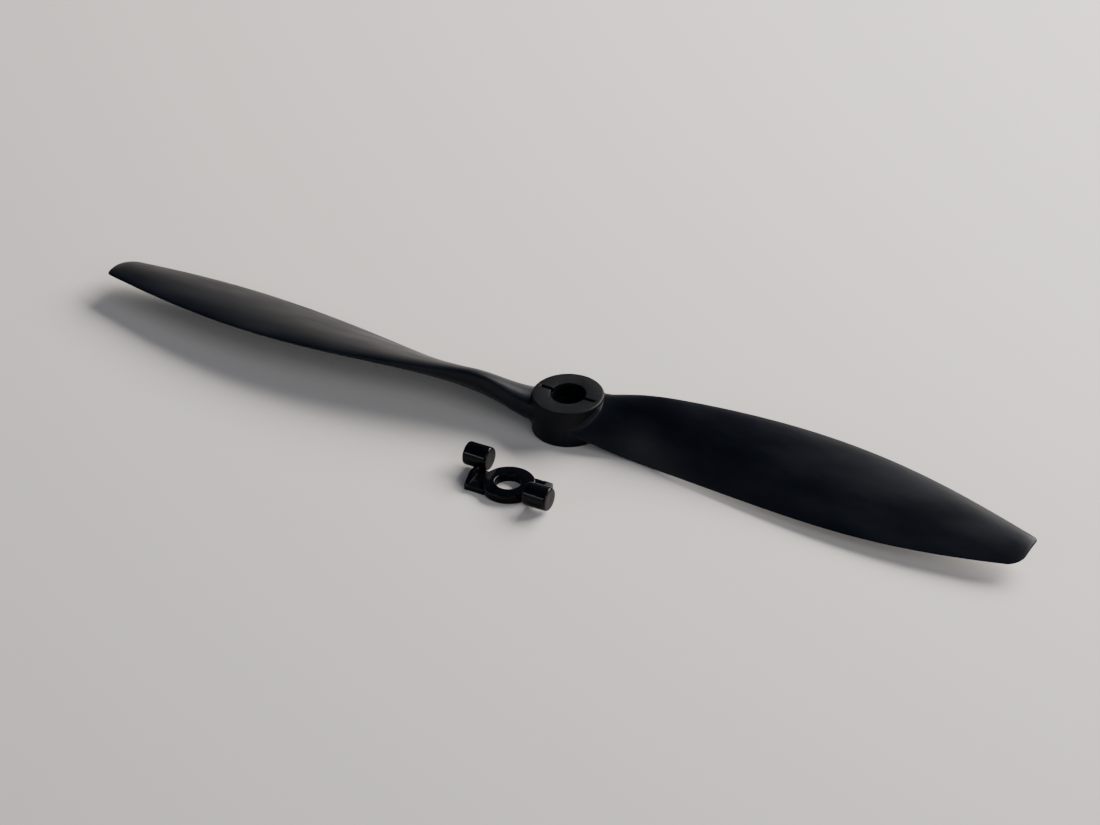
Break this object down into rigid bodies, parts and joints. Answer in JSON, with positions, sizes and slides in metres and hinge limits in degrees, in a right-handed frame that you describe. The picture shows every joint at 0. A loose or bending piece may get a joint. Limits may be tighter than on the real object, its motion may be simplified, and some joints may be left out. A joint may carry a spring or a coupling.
{
  "type": "two-blade model aircraft propeller",
  "caption": "Two-blade moulded propeller for a model aircraft, with a stepped hub bore and a loose ring-and-pegs adapter piece beside it.",
  "frame": {"origin": "point where the shaft axis meets the hub's bottom face", "axes": "+Z along the shaft axis towards the recessed hub face, +X along the right blade"},
  "size_m": [0.254, 0.0499, 0.0125],
  "materials": {
    "blade_plastic": "black glass-filled nylon, satin as moulded",
    "hub_plastic": "black glass-filled nylon, fine spark-eroded texture",
    "adapter_plastic": "black nylon, semi-gloss as moulded"
  },
  "bodies": {
    "propeller": {"hub": "hub_plastic", "right_blade": "blade_plastic", "left_blade": "blade_plastic"},
    "adapter": {"adapter_ring": "adapter_plastic", "right_arm": "adapter_plastic", "left_arm": "adapter_plastic", "right_peg": "adapter_plastic", "left_peg": "adapter_plastic"}
  },
  "joints": [
    {"name": "adapter_lift", "type": "slide", "parent": "propeller", "child": "adapter", "axis": [0, 0, 1], "range_m": [0, 0.03]}
  ]
}
